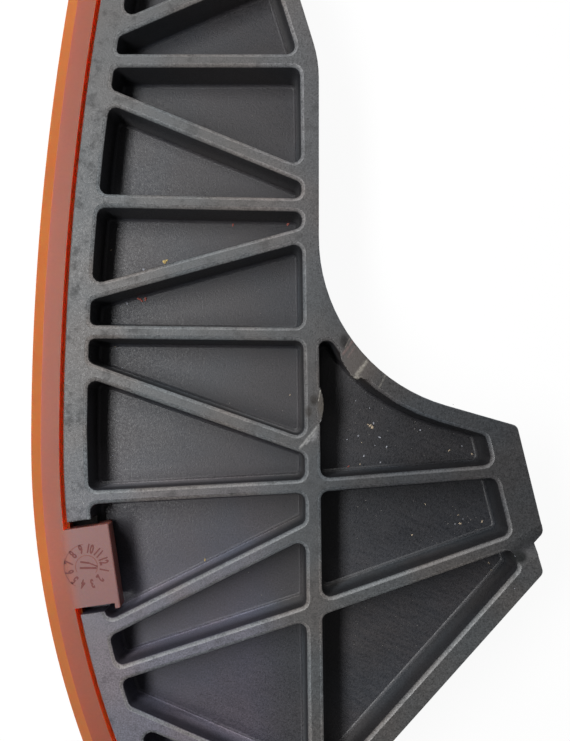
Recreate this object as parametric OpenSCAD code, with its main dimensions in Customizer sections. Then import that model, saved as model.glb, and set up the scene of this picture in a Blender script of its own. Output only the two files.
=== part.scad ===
// Timing chain guide: a ribbed moulded carrier with a clipped-on slide lining.
// It lies on its back face, with the pivot axis upright through the origin.
// X runs from the running face towards the tensioner, Y up the arm to the pivot.

/* [Running face] */
// Drop from the pivot to the crown, where the running face stands upright
crown_drop = 99; // [85:0.5:115]
// Radius of the running face above the crown
upper_r = 450.5; // [360:0.5:700]
// Radius of the running face below the crown
lower_r = 147.5; // [125:0.5:190]

/* [Slide lining] */
// Thickness of the lining, from the carrier's seat to the running face
lining_t = 5.85; // [4.5:0.05:8]
// Chamfer on the two edges of the running face
lining_chamfer = 2.1; // [0.5:0.1:3]
// Step that holds the lining's edges off the seat
relief_t = 0.7; // [0.3:0.05:1.5]
// Height of that step
relief_h = 2.4; // [1:0.1:5]
// Clearance between the seat and the lining's middle land
seat_clear = 0.05; // [0.02:0.01:0.2]
// Angle through which the lining wraps the pivot eye
eye_wrap = 38; // [10:1:70]
// Angle through which the lining wraps the nose
nose_wrap = 50; // [10:1:80]

/* [Clip lug] */
// Angle from the crown down the lower arc to the middle of the lug
lug_angle = 8.4; // [5:0.1:11]
// Length of the lug along the lining
lug_len = 13.2; // [8:0.1:15]
// Reach of the lug from the running face
lug_reach = 12.9; // [12:0.1:14.5]
// Thickness of the lug's plate
lug_t = 4.5; // [3:0.1:5.5]
// Set-back of the hook leg from the plate's end
leg_setback = 0.6; // [0.2:0.1:1]
// Depth that the hook leg reaches below the floor of its notch
leg_catch = 1.8; // [0.8:0.1:3]
// Clearance between the hook leg and the wall that it catches
lug_clear = 0.25; // [0.15:0.05:0.4]
// Room at each end of the lug in its notch
lug_room = 1.2; // [0.3:0.1:2]
// Gap below the lug's plate to the floor of its notch
lug_gap = 1; // [0.4:0.1:2]
// Size of the gate stub at the lug's inner corner
gate_stub = 0.9; // [0.4:0.1:1.1]

/* [Pivot eye] */
// Radius of the pivot bore
bore_r = 5.05; // [3:0.05:7]
// Radius of the eye around the bore
eye_r = 10; // [8.5:0.1:12]

/* [Carrier] */
// Thickness of the carrier, from its back face to its front face
carrier_t = 20; // [16:0.5:28]
// Web between the front and back pockets
web_t = 2.5; // [1.5:0.1:5]
// Wall behind the lining
seat_wall = 3.9; // [2.5:0.1:5]
// Distance from the pivot axis to the flat back of the arm
arm_back = 21.2; // [19:0.1:25]
// Wall along the back of the arm
back_wall = 3.2; // [2:0.1:5]
// Radius that blends the back of the arm into the hump
blend_r = 29.2; // [15:0.1:40]
// Radius at the shoulder where the arm starts to narrow
shoulder_r = 20; // [5:1:40]
// Wall along the blend and the top of the hump
hump_wall = 3; // [2:0.1:5]
// Radius of the nose at the foot of the guide
nose_r = 4; // [3:0.1:6]
// Wall along the tail
tail_wall = 3.6; // [2.5:0.1:5]
// Slope of the tail from the level
tail_slope = 48.2; // [44:0.1:52]

/* [Tensioner hump] */
// Distance from the pivot axis to the upper corner of the hump
hump_reach = 54.3; // [50:0.1:60]
// Drop from the pivot to that corner
hump_drop = 95.8; // [92:0.1:98]
// Slope of the top of the hump from the level
hump_slope = 16; // [8:0.5:24]
// Length of the face that the tensioner pushes
pad_len = 18.4; // [16:0.1:21]
// Lean of that face from upright
pad_lean = 13.8; // [8:0.1:18]
// Wall behind that face
pad_wall = 5.5; // [4:0.1:7]
// Depth of the nick below the face
nick_depth = 1.5; // [0.5:0.1:2.5]
// Drop from the face to the bottom of the nick
nick_drop = 1.7; // [1:0.1:3]
// Drop from the face to the lip below the nick
lip_drop = 6.7; // [5:0.1:9]
// Radius on the corners of the hump
hump_r = 1.2; // [0.4:0.1:2]
// Width of the saddle between the nick and the pocket
saddle_w = 4.4; // [2:0.1:5]
// Depth of that saddle
saddle_depth = 0.5; // [0.4:0.1:2.5]

/* [Ribs] */
// Thickness of the cross ribs
rib_t = 2.3; // [1.4:0.1:3.2]
// Thickness of the diagonal braces
brace_t = 2.5; // [1.4:0.1:3.4]
// Thickness of the spine between the arm and the hump
spine_t = 2.7; // [1.5:0.1:4]
// Lean of the spine from upright
spine_lean = 0.7; // [0:0.1:2]
// Rib 1, as drops from the pivot at the lining wall and at the back wall
rib_1 = [13, 13]; // [12:0.1:15]
// Brace 1, as the same two drops
brace_1 = [29.3, 18.6]; // [16:0.1:31]
// Rib 2
rib_2 = [34.8, 34.8]; // [33:0.1:36]
// Brace 2
brace_2 = [40.8, 53.8]; // [39:0.1:56]
// Rib 3
rib_3 = [58.2, 58.9]; // [56:0.1:61]
// Brace 3
brace_3 = [73.5, 63.9]; // [62:0.1:76]
// Rib 4, which runs on to the blend
rib_4 = [80.1, 80.5]; // [78:0.1:83]
// Brace 4
brace_4 = [86.5, 99.2]; // [84:0.1:102]
// Rib 5, with its drop at the tensioner wall as a third number
rib_5 = [107.8, 105.9, 103.4]; // [101:0.1:110]
// Brace 5
brace_5 = [129.8, 113.3]; // [111:0.1:132]
// Rib 6, with its drop at the tensioner wall as a third number
rib_6 = [137.2, 127.1, 115.1]; // [113:0.1:140]
// Brace 6
brace_6 = [144.2, 157]; // [142:0.1:159]

/* [Pockets] */
// Radius on the corners of the pockets
pocket_r = 1.3; // [1:0.1:2]
// Round on the mouth of the pockets
mouth_r = 0.65; // [0.2:0.05:0.75]
// Fillet round the floor of the pockets
floor_r = 0.6; // [0.2:0.05:0.8]
// Draft of the pocket walls
draft = 2; // [0.5:0.1:3]

/* [Hidden] */
$fa = 2;
$fs = 0.4;

// Longest chord and widest step along the seat, and steps in a corner, in the blend and across the saddle
chord = 2.5;
widest_step = 7;
corner_steps = 4;
bend_steps = 6;
saddle_steps = 6;
// Least radius left at a pocket's floor corner
least_r = 0.1;
// Share of a side that one corner's round may take, in a pocket and in the outline
pocket_share = 0.48;
outline_share = 0.9;
// Overlap by which a cut runs past the face that it opens
eps = 0.15;

// Centres and seat radii of the two arcs, which share an upright tangent at the crown
upper_seat = upper_r - lining_t;
lower_seat = lower_r - lining_t;
crown_x = sqrt(pow(upper_seat - eye_r, 2) - pow(crown_drop, 2)) - upper_r;
upper_centre = [crown_x + upper_r, -crown_drop];
lower_centre = [crown_x + lower_r, -crown_drop];
// Direction from the upper centre to the pivot, where the eye touches the seat
eye_turn = atan2(crown_drop, -upper_centre[0]);

// Corners of the hump, from the top of the tensioner face down to the lip
hump_top = [hump_reach, -hump_drop];
pad_foot = hump_top + pad_len * [sin(pad_lean), -cos(pad_lean)];
nick = pad_foot - [nick_depth, nick_drop];
lip = pad_foot - [0, lip_drop];
// Sharp corner under the blend, and the shoulder where the arm starts to narrow
blend_corner = [arm_back, hump_top[1] + (hump_reach - arm_back) * tan(hump_slope)];
shoulder = [arm_back, -rib_2[1]];
shoulder_turn = atan2(shoulder[1], shoulder[0]) + acos(eye_r / norm(shoulder));

// Tail line, its outward normal, and the nose that touches the tail and the lower seat
tail_dir = -[cos(tail_slope), sin(tail_slope)];
tail_turn = tail_slope - 90;
tail_out = [cos(tail_turn), sin(tail_turn)];
nose_line = lip - nose_r * tail_out - lower_centre;
nose_along = nose_line * tail_dir;
nose_reach = pow(lower_seat - nose_r, 2) - nose_line * nose_line;
nose_run = sqrt(pow(nose_along, 2) + nose_reach) - nose_along;
nose_centre = lower_centre + nose_line + nose_run * tail_dir;
nose_turn = 360 + atan2(nose_centre[1] - lower_centre[1], nose_centre[0] - lower_centre[0]);

// Depth of a pocket, and how far its draft closes it by the foot of the wall
pocket_depth = (carrier_t - web_t) / 2;
draft_in = (pocket_depth - mouth_r - floor_r) * tan(draft);
// Share of a quarter round that lies behind its middle point
mid_round = 1 - sqrt(0.5);
// Pocket rings from the floor up, as [height, inset from the wall line]
POCKET_RINGS = [
    [0, draft_in + floor_r],
    [mid_round * floor_r, draft_in + mid_round * floor_r],
    [floor_r, draft_in],
    [pocket_depth - mouth_r, 0],
    [pocket_depth - mid_round * mouth_r, -mid_round * mouth_r],
    [pocket_depth + eps, -mouth_r - eps * (1 - mid_round) / mid_round],
];

// Depth of the lug's notch below the face, and the radius of the wall that it opens
notch_depth = lug_t + lug_gap;
wall_in_r = lower_seat - seat_wall;

// Unit vector, its left normal, and the point where two lines meet
function unit(v) = v / norm(v);
function left_of(v) = [-v[1], v[0]];
function meet(p, q, s, t) = p + (q - p) * cross(s - p, t - s) / cross(q - p, t - s);
function shifted(line, by) = [line[0] + by, line[1] + by];

// Stations along an arc, as [centre, radius, direction], with no step longer than set
function stations(centre, r, from, to) =
    let (steps = ceil(abs(to - from) * max(PI * r / 180 / chord, 1 / widest_step)))
    [for (i = [0:steps]) [centre, r, from + (to - from) * i / steps]];
function past_first(list) = [for (i = [1:len(list) - 1]) list[i]];
// Point out from a station by a distance
function out_from(s, by) = s[0] + (s[1] + by) * [cos(s[2]), sin(s[2])];

// Round at one corner of a path, held to a share of its two sides
function corner(before, here, after, r, steps, share) =
    r <= 0 ? [here] :
    let (
        a = unit(before - here),
        b = unit(after - here),
        half = acos(a * b) / 2,
        room = share * min(norm(before - here), norm(after - here)),
        fit = min(r, room * tan(half)),
        centre = here + unit(a + b) * fit / sin(half),
        spoke = here + a * fit / tan(half) - centre,
        turn = (180 - 2 * half) * sign(cross(here - before, after - here)) / steps
    )
    [for (i = [0:steps]) centre + spoke * cos(turn * i) + left_of(spoke) * sin(turn * i)];

// Closed path with a round at each corner
function rounded(path, radii) =
    let (n = len(path))
    [for (i = [0:n - 1])
        each corner(path[(i + n - 1) % n], path[i], path[(i + 1) % n], radii[i],
                    corner_steps, pocket_share)];

// Closed path, counter-clockwise, with each side moved inwards by its own distance
function inset(path, by) =
    let (n = len(path))
    [for (i = [0:n - 1])
        let (
            h = (i + n - 1) % n,
            a = unit(path[i] - path[h]),
            b = unit(path[(i + 1) % n] - path[i]),
            p = path[i] + left_of(a) * by[h],
            q = path[i] + left_of(b) * by[i]
        )
        abs(cross(a, b)) < 1e-6 ? p : meet(p, p + a, q, q + b)];

// Inner face of the lining wall at a drop from the pivot
function wall_in(drop) =
    let (
        r = drop < crown_drop ? upper_seat : lower_seat,
        c = drop < crown_drop ? upper_centre : lower_centre
    )
    [c[0] - sqrt(pow(r - seat_wall, 2) - pow(drop - crown_drop, 2)), -drop];

// Lines along the inner faces of the walls and the two faces of the spine
back_dir = [-sin(shoulder_turn), cos(shoulder_turn)];
back_in = shifted([shoulder, shoulder + back_dir], left_of(back_dir) * back_wall);
spine_top = [arm_back - back_wall, -rib_2[1]];
spine_in = [spine_top, spine_top + [sin(spine_lean), -cos(spine_lean)]];
spine_out = shifted(spine_in, [spine_t, 0]);
pad_dir = unit(pad_foot - hump_top);
pad_in = shifted([hump_top, pad_foot], -left_of(pad_dir) * pad_wall);
hump_dir = unit(hump_top - blend_corner);
hump_in = shifted([blend_corner, hump_top], -left_of(hump_dir) * hump_wall);
tail_in = shifted([lip, lip + tail_dir], -tail_out * tail_wall);

// Point of a wall line at a drop from the pivot
function at_drop(line, drop) = meet(line[0], line[1], [0, -drop], [1, -drop]);
function back_node(drop) = at_drop(drop < rib_2[1] ? back_in : spine_in, drop);
function rib_line(rib) = [wall_in(rib[0]), back_node(rib[1])];
function far_rib_line(rib) = [back_node(rib[1]), at_drop(pad_in, rib[2])];
function cross_lines(a, b) = meet(a[0], a[1], b[0], b[1]);

// Ribs and braces down the arm, each with its thickness
ARM_RIBS = [
    [rib_1, rib_t],
    [brace_1, brace_t],
    [rib_2, rib_t],
    [brace_2, brace_t],
    [rib_3, rib_t],
    [brace_3, brace_t],
    [rib_4, rib_t],
    [brace_4, brace_t],
    [rib_5, rib_t],
    [brace_5, brace_t],
    [rib_6, brace_t],
    [brace_6, brace_t],
];

// Pocket as [path, inset of each side, radius of each corner]
function arm_pocket(above, below) =
    let (
        top = rib_line(above[0]),
        foot = rib_line(below[0]),
        bow = wall_in((above[0][0] + below[0][0]) / 2)
    )
    [
        [top[0], bow, foot[0], foot[1], top[1]],
        [0, 0, below[1] / 2, 0, above[1] / 2],
        [pocket_r, 0, pocket_r, pocket_r, pocket_r],
    ];

// Foot of the arm, between the last brace, the tail and the lining wall
function foot_pocket() =
    let (
        brace = rib_line(brace_6),
        from = tail_in[0] - lower_centre,
        along = from * tail_dir,
        run = sqrt(pow(along, 2) + pow(wall_in_r, 2) - from * from) - along,
        toe = tail_in[0] + run * tail_dir,
        bow = wall_in((brace_6[0] - toe[1]) / 2)
    )
    [
        [brace[0], bow, toe, cross_lines(brace, tail_in)],
        [0, 0, 0, brace_t / 2],
        [pocket_r, 0, pocket_r, pocket_r],
    ];

// Upper hump pocket, whose top follows the blend
function blend_pocket() =
    let (
        low = far_rib_line(rib_5),
        reach = blend_r / tan((90 + hump_slope) / 2),
        centre = [arm_back + blend_r, blend_corner[1] + reach],
        r = blend_r + hump_wall,
        from = 180 + asin((centre[1] + rib_4[1]) / r),
        to = 270 - hump_slope,
        bend = [for (i = [0:bend_steps])
            let (a = to + (from - to) * i / bend_steps)
            centre + r * [cos(a), sin(a)]]
    )
    [
        concat(
            [cross_lines(spine_out, low), cross_lines(low, pad_in), cross_lines(pad_in, hump_in)],
            bend,
            [at_drop(spine_out, rib_4[1])]
        ),
        concat([rib_t / 2, 0, 0], [for (i = [1:bend_steps]) 0], [rib_t / 2, 0]),
        concat([pocket_r, pocket_r, pocket_r], [for (i = [1:bend_steps]) 0], [pocket_r, pocket_r]),
    ];

// Middle hump pocket, between ribs 5 and 6
function pad_pocket() =
    let (high = far_rib_line(rib_5), low = far_rib_line(rib_6))
    [
        [cross_lines(spine_out, high), cross_lines(spine_out, low),
         cross_lines(low, pad_in), cross_lines(high, pad_in)],
        [0, brace_t / 2, 0, rib_t / 2],
        [pocket_r, pocket_r, pocket_r, pocket_r],
    ];

// Lower hump pocket, between rib 6 and the tail
function tail_pocket() =
    let (high = far_rib_line(rib_6))
    [
        [cross_lines(spine_out, high), cross_lines(spine_out, tail_in),
         cross_lines(tail_in, pad_in), cross_lines(high, pad_in)],
        [0, 0, 0, brace_t / 2],
        [pocket_r, pocket_r, pocket_r, pocket_r],
    ];

POCKETS = concat(
    [for (i = [1:len(ARM_RIBS) - 1]) arm_pocket(ARM_RIBS[i - 1], ARM_RIBS[i])],
    [foot_pocket(), blend_pocket(), pad_pocket(), tail_pocket()]
);

// Seat of the lining from the eye to the nose
SEAT = concat(
    stations(upper_centre, upper_seat, eye_turn, 180),
    past_first(stations(lower_centre, lower_seat, 180, nose_turn))
);

// Outline of the carrier, counter-clockwise from the eye
function carrier_outline() =
    let (
        eye_end = eye_r * [cos(shoulder_turn), sin(shoulder_turn)],
        nose_end = nose_centre + nose_r * tail_out,
        bends = [nose_end, lip, nick, pad_foot, hump_top, blend_corner, shoulder, eye_end],
        radii = [0, hump_r, 0, hump_r, hump_r, blend_r, shoulder_r, 0]
    )
    concat(
        [for (s = stations([0, 0], eye_r, shoulder_turn, eye_turn)) out_from(s, 0)],
        [for (s = past_first(SEAT)) out_from(s, 0)],
        [for (s = past_first(stations(nose_centre, nose_r, nose_turn, 360 + tail_turn))) out_from(s, 0)],
        [for (i = [1:len(bends) - 2])
            each corner(bends[i - 1], bends[i], bends[i + 1], radii[i],
                        radii[i] == blend_r ? 3 * bend_steps : corner_steps, outline_share)]
    );

// One drafted pocket with a rounded mouth and a filleted floor, standing on its floor
module pocket(shape) {
    rings = [for (ring = POCKET_RINGS)
        rounded(inset(shape[0], [for (d = shape[1]) d + ring[1]]),
                [for (r = shape[2]) r > 0 ? max(r - ring[1], least_r) : 0])];
    n = len(rings[0]);
    top = len(rings) - 1;
    points = [for (k = [0:top]) for (p = rings[k]) [p[0], p[1], POCKET_RINGS[k][0]]];
    floor_face = [for (i = [0:n - 1]) i];
    mouth_face = [for (i = [n - 1:-1:0]) top * n + i];
    sides = [for (k = [0:top - 1]) for (i = [0:n - 1])
        let (j = (i + 1) % n)
        [k * n + i, (k + 1) * n + i, (k + 1) * n + j, k * n + j]];
    polyhedron(points, concat([floor_face, mouth_face], sides), convexity = 4);
}

// Children on the front face, and mirrored on the back face
module both_faces() {
    children();
    translate([0, 0, carrier_t]) mirror([0, 0, 1]) children();
}

// Frame of the lug: X points out from the centre of the lower arc, Y down the lining
module at_lug() {
    translate(lower_centre) rotate(180 + lug_angle) children();
}

// Notch in the lining wall that takes the lug
module lug_notch() {
    cut = seat_wall + draft_in + 2 * eps;
    length = lug_len + 2 * lug_room;
    at_lug()
        translate([lower_seat - cut, -length / 2, carrier_t - notch_depth])
            cube([cut + relief_t, length, notch_depth + eps]);
}

// Shallow rounded trough from the nick to the lower hump pocket
module saddle() {
    tip = (cross_lines(tail_in, pad_in) + cross_lines(far_rib_line(rib_6), pad_in)) / 2;
    run = tip - nick;
    lead = nick_depth + saddle_w;
    length = norm(run) + lead + pocket_r;
    dip = [for (i = [1:saddle_steps - 1])
        [saddle_w * (i / saddle_steps - 0.5), (cos(360 * i / saddle_steps) - 1) * saddle_depth / 2]];
    brim = saddle_w / 2 + eps * saddle_w / saddle_steps / -dip[0][1];
    translate([nick[0], nick[1], carrier_t])
        rotate([90, 0, 90 + atan2(run[1], run[0])])
            translate([0, 0, -lead])
                linear_extrude(length)
                    polygon(concat([[-brim, eps]], dip, [[brim, eps]]));
}

// Black glass-filled carrier: rim, ribs and braces on a middle web
module carrier() {
    color([0.13, 0.13, 0.14])
    difference() {
        linear_extrude(carrier_t) polygon(carrier_outline());
        both_faces() {
            for (shape = POCKETS)
                translate([0, 0, carrier_t - pocket_depth]) pocket(shape);
            lug_notch();
            saddle();
        }
        translate([0, 0, -eps]) cylinder(h = carrier_t + 2 * eps, r = bore_r);
    }
}

// Section of the lining, as [distance out from the seat, height], counter-clockwise
LINING_SECTION = [
    [relief_t, 0],
    [lining_t - lining_chamfer, 0],
    [lining_t, lining_chamfer],
    [lining_t, carrier_t - lining_chamfer],
    [lining_t - lining_chamfer, carrier_t],
    [relief_t, carrier_t],
    [relief_t, carrier_t - relief_h],
    [seat_clear, carrier_t - relief_h],
    [seat_clear, relief_h],
    [relief_t, relief_h],
];

// End faces of the strip: its body, and the land that stands out behind it
LINING_ENDS = [[3, 4, 5, 6, 9, 0, 1, 2], [6, 7, 8, 9]];

// Lining's strip: its section swept from the eye along the seat and round the nose
module lining_strip() {
    route = concat(
        stations([0, 0], eye_r, eye_turn - eye_wrap, eye_turn),
        past_first(SEAT),
        past_first(stations(nose_centre, nose_r, nose_turn, nose_turn + nose_wrap))
    );
    n = len(LINING_SECTION);
    last = len(route) - 1;
    points = [for (s = route) for (q = LINING_SECTION)
        let (p = out_from(s, q[0]))
        [p[0], p[1], q[1]]];
    sides = [for (k = [0:last - 1]) for (i = [0:n - 1])
        let (j = (i + 1) % n)
        [k * n + i, k * n + j, (k + 1) * n + j, (k + 1) * n + i]];
    top_end = [for (face = LINING_ENDS) [for (i = [len(face) - 1:-1:0]) face[i]]];
    foot_end = [for (face = LINING_ENDS) [for (i = face) last * n + i]];
    polyhedron(points, concat(top_end, foot_end, sides), convexity = 6);
}

// Clip lug: a plate through the notch, with a hook leg behind the wall
module lug() {
    end_r = lower_r - lug_reach;
    root_r = lower_seat + (lining_t + relief_t) / 2;
    leg_r = sqrt(pow(wall_in_r - draft_in - lug_clear, 2) - pow(lug_len / 2, 2));
    leg_h = notch_depth - lug_t + leg_catch;
    at_lug() {
        translate([end_r, -lug_len / 2, carrier_t - lug_t])
            cube([root_r - end_r, lug_len, lug_t]);
        translate([end_r + leg_setback, -lug_len / 2, carrier_t - lug_t - leg_h])
            cube([leg_r - end_r - leg_setback, lug_len, leg_h + eps]);
        translate([end_r, lug_len / 2 - eps, carrier_t - lug_t])
            cube([gate_stub, gate_stub + eps, lug_t]);
    }
}

// Orange-brown nylon slide lining: one moulding with its clip lugs
module slide_lining() {
    color([0.72, 0.42, 0.3])
    union() {
        lining_strip();
        both_faces() lug();
    }
}

carrier();
slide_lining();
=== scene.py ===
"""Dresses the timing chain guide: moulded carrier, slide lining, date dial, handling marks and dust."""

from __future__ import annotations

import logging
import math
import random
from collections.abc import Iterable, Mapping, Sequence
from dataclasses import dataclass, field
from enum import Enum
from typing import Any

import bmesh
import bpy
from mathutils import Matrix, Vector, noise

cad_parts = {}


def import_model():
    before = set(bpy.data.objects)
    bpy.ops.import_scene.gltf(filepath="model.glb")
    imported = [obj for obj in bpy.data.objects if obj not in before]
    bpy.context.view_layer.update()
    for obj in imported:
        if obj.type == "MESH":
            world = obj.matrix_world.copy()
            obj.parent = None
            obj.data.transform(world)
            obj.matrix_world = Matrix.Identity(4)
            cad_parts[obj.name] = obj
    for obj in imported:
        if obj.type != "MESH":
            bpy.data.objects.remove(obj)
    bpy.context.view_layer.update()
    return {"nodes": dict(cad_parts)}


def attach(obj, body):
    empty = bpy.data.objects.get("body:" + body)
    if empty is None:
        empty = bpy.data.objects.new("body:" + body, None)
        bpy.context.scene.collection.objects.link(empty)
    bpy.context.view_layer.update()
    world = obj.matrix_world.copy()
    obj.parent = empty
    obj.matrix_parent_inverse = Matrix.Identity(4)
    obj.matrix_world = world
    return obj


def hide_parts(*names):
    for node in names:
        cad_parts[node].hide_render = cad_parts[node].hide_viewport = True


LOG = logging.getLogger("chain_guide")
MM = 0.001
Colour = tuple[float, float, float]
Point = tuple[float, float]
# Pixel column, pixel row and half length in millimetres of one grain.
Speck = tuple[float, float, float]
Mesh = bmesh.types.BMesh
Material = bpy.types.Material
Piece = bpy.types.Object
WHITE: Colour = (1.0, 1.0, 1.0)
# Depth of the part, and axis of the lining's lower arc, in millimetres.
DEPTH_MM = 20.0
LOWER_ARC: Point = (120.225, -99.0)


def from_srgb(red: int, green: int, blue: int) -> Colour:
    """Turn an 8-bit display colour into scene-linear values.

    Args:
        red: Red, from 0 to 255.
        green: Green, from 0 to 255.
        blue: Blue, from 0 to 255.

    Returns:
        The three linear values.
    """

    def linear(value: int) -> float:
        """Linear value of one display value."""
        share = value / 255
        return share / 12.92 if share <= 0.04045 else ((share + 0.055) / 1.055) ** 2.4

    return linear(red), linear(green), linear(blue)


class LiningZone(Enum):
    """Zones of the slide lining that take a different colour; the chamfers' clearer orange and the relief's
    red are painted light shining through the nylon.
    """

    EDGE = 0.0
    CHAMFER = 0.25
    RELIEF = 0.5
    WALL = 1.0


@dataclass(frozen=True)
class PhotoFrame:
    """Where a pixel of the 570 by 741 frame falls on the part."""

    px_per_mm: float = 6.0
    origin_px: Point = (191.8, -149.0)
    centre_px: Point = (262.0, 404.0)
    frame_px: Point = (570.0, 741.0)
    front_mm: float = DEPTH_MM
    height_mm: float = 166.0

    def mm(self, px: float, py: float, depth: float = 0.0) -> Vector:
        """Point under a pixel on a plane below the front face.

        Args:
            px: Pixel column.
            py: Pixel row.
            depth: Depth of the plane below the front face, in millimetres.

        Returns:
            The point in millimetres.
        """
        spread = 1 + depth / self.height_mm
        x = self.centre_px[0] + (px - self.centre_px[0]) * spread
        y = self.centre_px[1] + (py - self.centre_px[1]) * spread
        return Vector((
            (x - self.origin_px[0]) / self.px_per_mm,
            (self.origin_px[1] - y) / self.px_per_mm,
            self.front_mm - depth,
        ))

    def flat(self, px: float, py: float) -> Point:
        """Place on the front face under a pixel, in millimetres."""
        point = self.mm(px, py)
        return point.x, point.y


PHOTO = PhotoFrame()


class Sock:
    """A node's output that takes part in Python arithmetic."""

    def __init__(self, graph: Graph, out: bpy.types.NodeSocket | None) -> None:
        """Keep the graph and the output socket; a closing node has none."""
        self.graph = graph
        self.out = out

    def __add__(self, other: Value) -> Sock:
        """Sum with a value."""
        return self.graph.math("ADD", self, other)

    def __radd__(self, other: Value) -> Sock:
        """Sum with a value on the left."""
        return self.graph.math("ADD", other, self)

    def __sub__(self, other: Value) -> Sock:
        """Difference from a value."""
        return self.graph.math("SUBTRACT", self, other)

    def __rsub__(self, other: Value) -> Sock:
        """Difference with a value on the left."""
        return self.graph.math("SUBTRACT", other, self)

    def __mul__(self, other: Value) -> Sock:
        """Product with a value."""
        return self.graph.math("MULTIPLY", self, other)

    def __rmul__(self, other: Value) -> Sock:
        """Product with a value on the left."""
        return self.graph.math("MULTIPLY", other, self)

    def __truediv__(self, other: Value) -> Sock:
        """Quotient by a value."""
        return self.graph.math("DIVIDE", self, other)

    def __rtruediv__(self, other: Value) -> Sock:
        """Quotient with a value on the left."""
        return self.graph.math("DIVIDE", other, self)

    def __pow__(self, other: Value) -> Sock:
        """Power of a value."""
        return self.graph.math("POWER", self, other)

    def __abs__(self) -> Sock:
        """Size without sign."""
        return self.graph.math("ABSOLUTE", self)

    def held(self) -> Sock:
        """Value held between 0 and 1."""
        return self.graph.math("ADD", self, 0.0, clamp=True)

    def over(self, other: Value) -> Sock:
        """Larger of this and a value."""
        return self.graph.math("MAXIMUM", self, other)

    def hypot(self, other: Sock) -> Sock:
        """Length of a plane vector that has this and another value as its parts."""
        return (self * self + other * other) ** 0.5

    def swing(self, share: float) -> Sock:
        """Departure from a half, times a share."""
        return (self - 0.5) * share

    def at_least(self, low: float) -> Sock:
        """Mask that starts from a share instead of 0."""
        return low + self * (1 - low)

    def rise(self, low: float, high: float) -> Sock:
        """Smooth step from 0 at low to 1 at high; low may be the larger."""
        return self.graph.node(
            "ShaderNodeMapRange",
            {"interpolation_type": "SMOOTHSTEP"},
            {"Value": self, "From Min": low, "From Max": high},
        )


Value = Sock | float
Place = tuple[Sock, Sock, Sock, Sock]


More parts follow.
